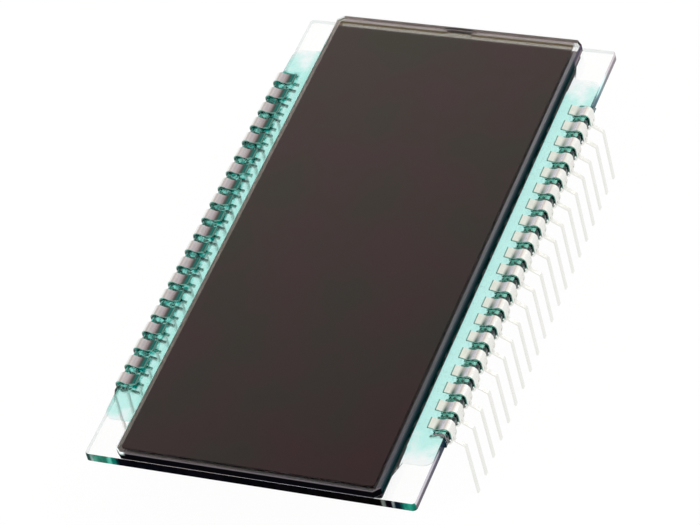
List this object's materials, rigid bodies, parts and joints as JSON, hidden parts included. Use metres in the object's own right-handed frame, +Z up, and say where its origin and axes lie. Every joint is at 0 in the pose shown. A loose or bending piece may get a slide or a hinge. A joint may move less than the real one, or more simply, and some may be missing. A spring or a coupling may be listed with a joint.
{
  "type": "segment lcd display",
  "caption": "Flat glass segment liquid crystal display, dark viewing face, with a row of stamped clip pins along each long side for soldering or plugging into a board.",
  "frame": {"origin": "middle of the cell, on the plane of the pin tips", "axes": "+X along the length towards the fill port, +Y across the pin rows, +Z up out of the viewing face"},
  "size_m": [0.0702, 0.0416, 0.0111],
  "materials": {
    "clear_glass": "clear float glass, pale green at its cut edges",
    "dark_film": "smooth dark polarizer film",
    "clear_conductor": "transparent conductive film",
    "crystal": "clear liquid layer",
    "seal_epoxy": "cured epoxy, translucent grey",
    "plug_resin": "cured clear adhesive with a mauve cast",
    "silver_paste": "cured conductive paste",
    "tinned_steel": "bright tin plate, lightly drawn",
    "teal_resin": "translucent teal ultraviolet-cured resin"
  },
  "bodies": {
    "root": {"rear_glass": "clear_glass", "front_glass": "clear_glass", "segment_electrodes": "clear_conductor", "common_electrode": "clear_conductor", "transfer_dots": "silver_paste", "perimeter_seal": "seal_epoxy", "end_plug": "plug_resin", "liquid_crystal": "crystal", "front_polarizer": "dark_film", "rear_polarizer": "dark_film", "resin_left": "teal_resin", "resin_right": "teal_resin", "pin_01": "tinned_steel", "pin_02": "tinned_steel", "pin_03": "tinned_steel", "pin_04": "tinned_steel", "pin_05": "tinned_steel", "pin_06": "tinned_steel", "pin_07": "tinned_steel", "pin_08": "tinned_steel", "pin_09": "tinned_steel", "pin_10": "tinned_steel", "pin_11": "tinned_steel", "pin_12": "tinned_steel", "pin_13": "tinned_steel", "pin_14": "tinned_steel", "pin_15": "tinned_steel", "pin_16": "tinned_steel", "pin_17": "tinned_steel", "pin_18": "tinned_steel", "pin_19": "tinned_steel", "pin_20": "tinned_steel", "pin_21": "tinned_steel", "pin_22": "tinned_steel", "pin_23": "tinned_steel", "pin_24": "tinned_steel", "pin_25": "tinned_steel", "pin_26": "tinned_steel", "pin_27": "tinned_steel", "pin_28": "tinned_steel", "pin_29": "tinned_steel", "pin_30": "tinned_steel", "pin_31": "tinned_steel", "pin_32": "tinned_steel", "pin_33": "tinned_steel", "pin_34": "tinned_steel", "pin_35": "tinned_steel", "pin_36": "tinned_steel", "pin_37": "tinned_steel", "pin_38": "tinned_steel", "pin_39": "tinned_steel", "pin_40": "tinned_steel"}
  },
  "joints": []
}
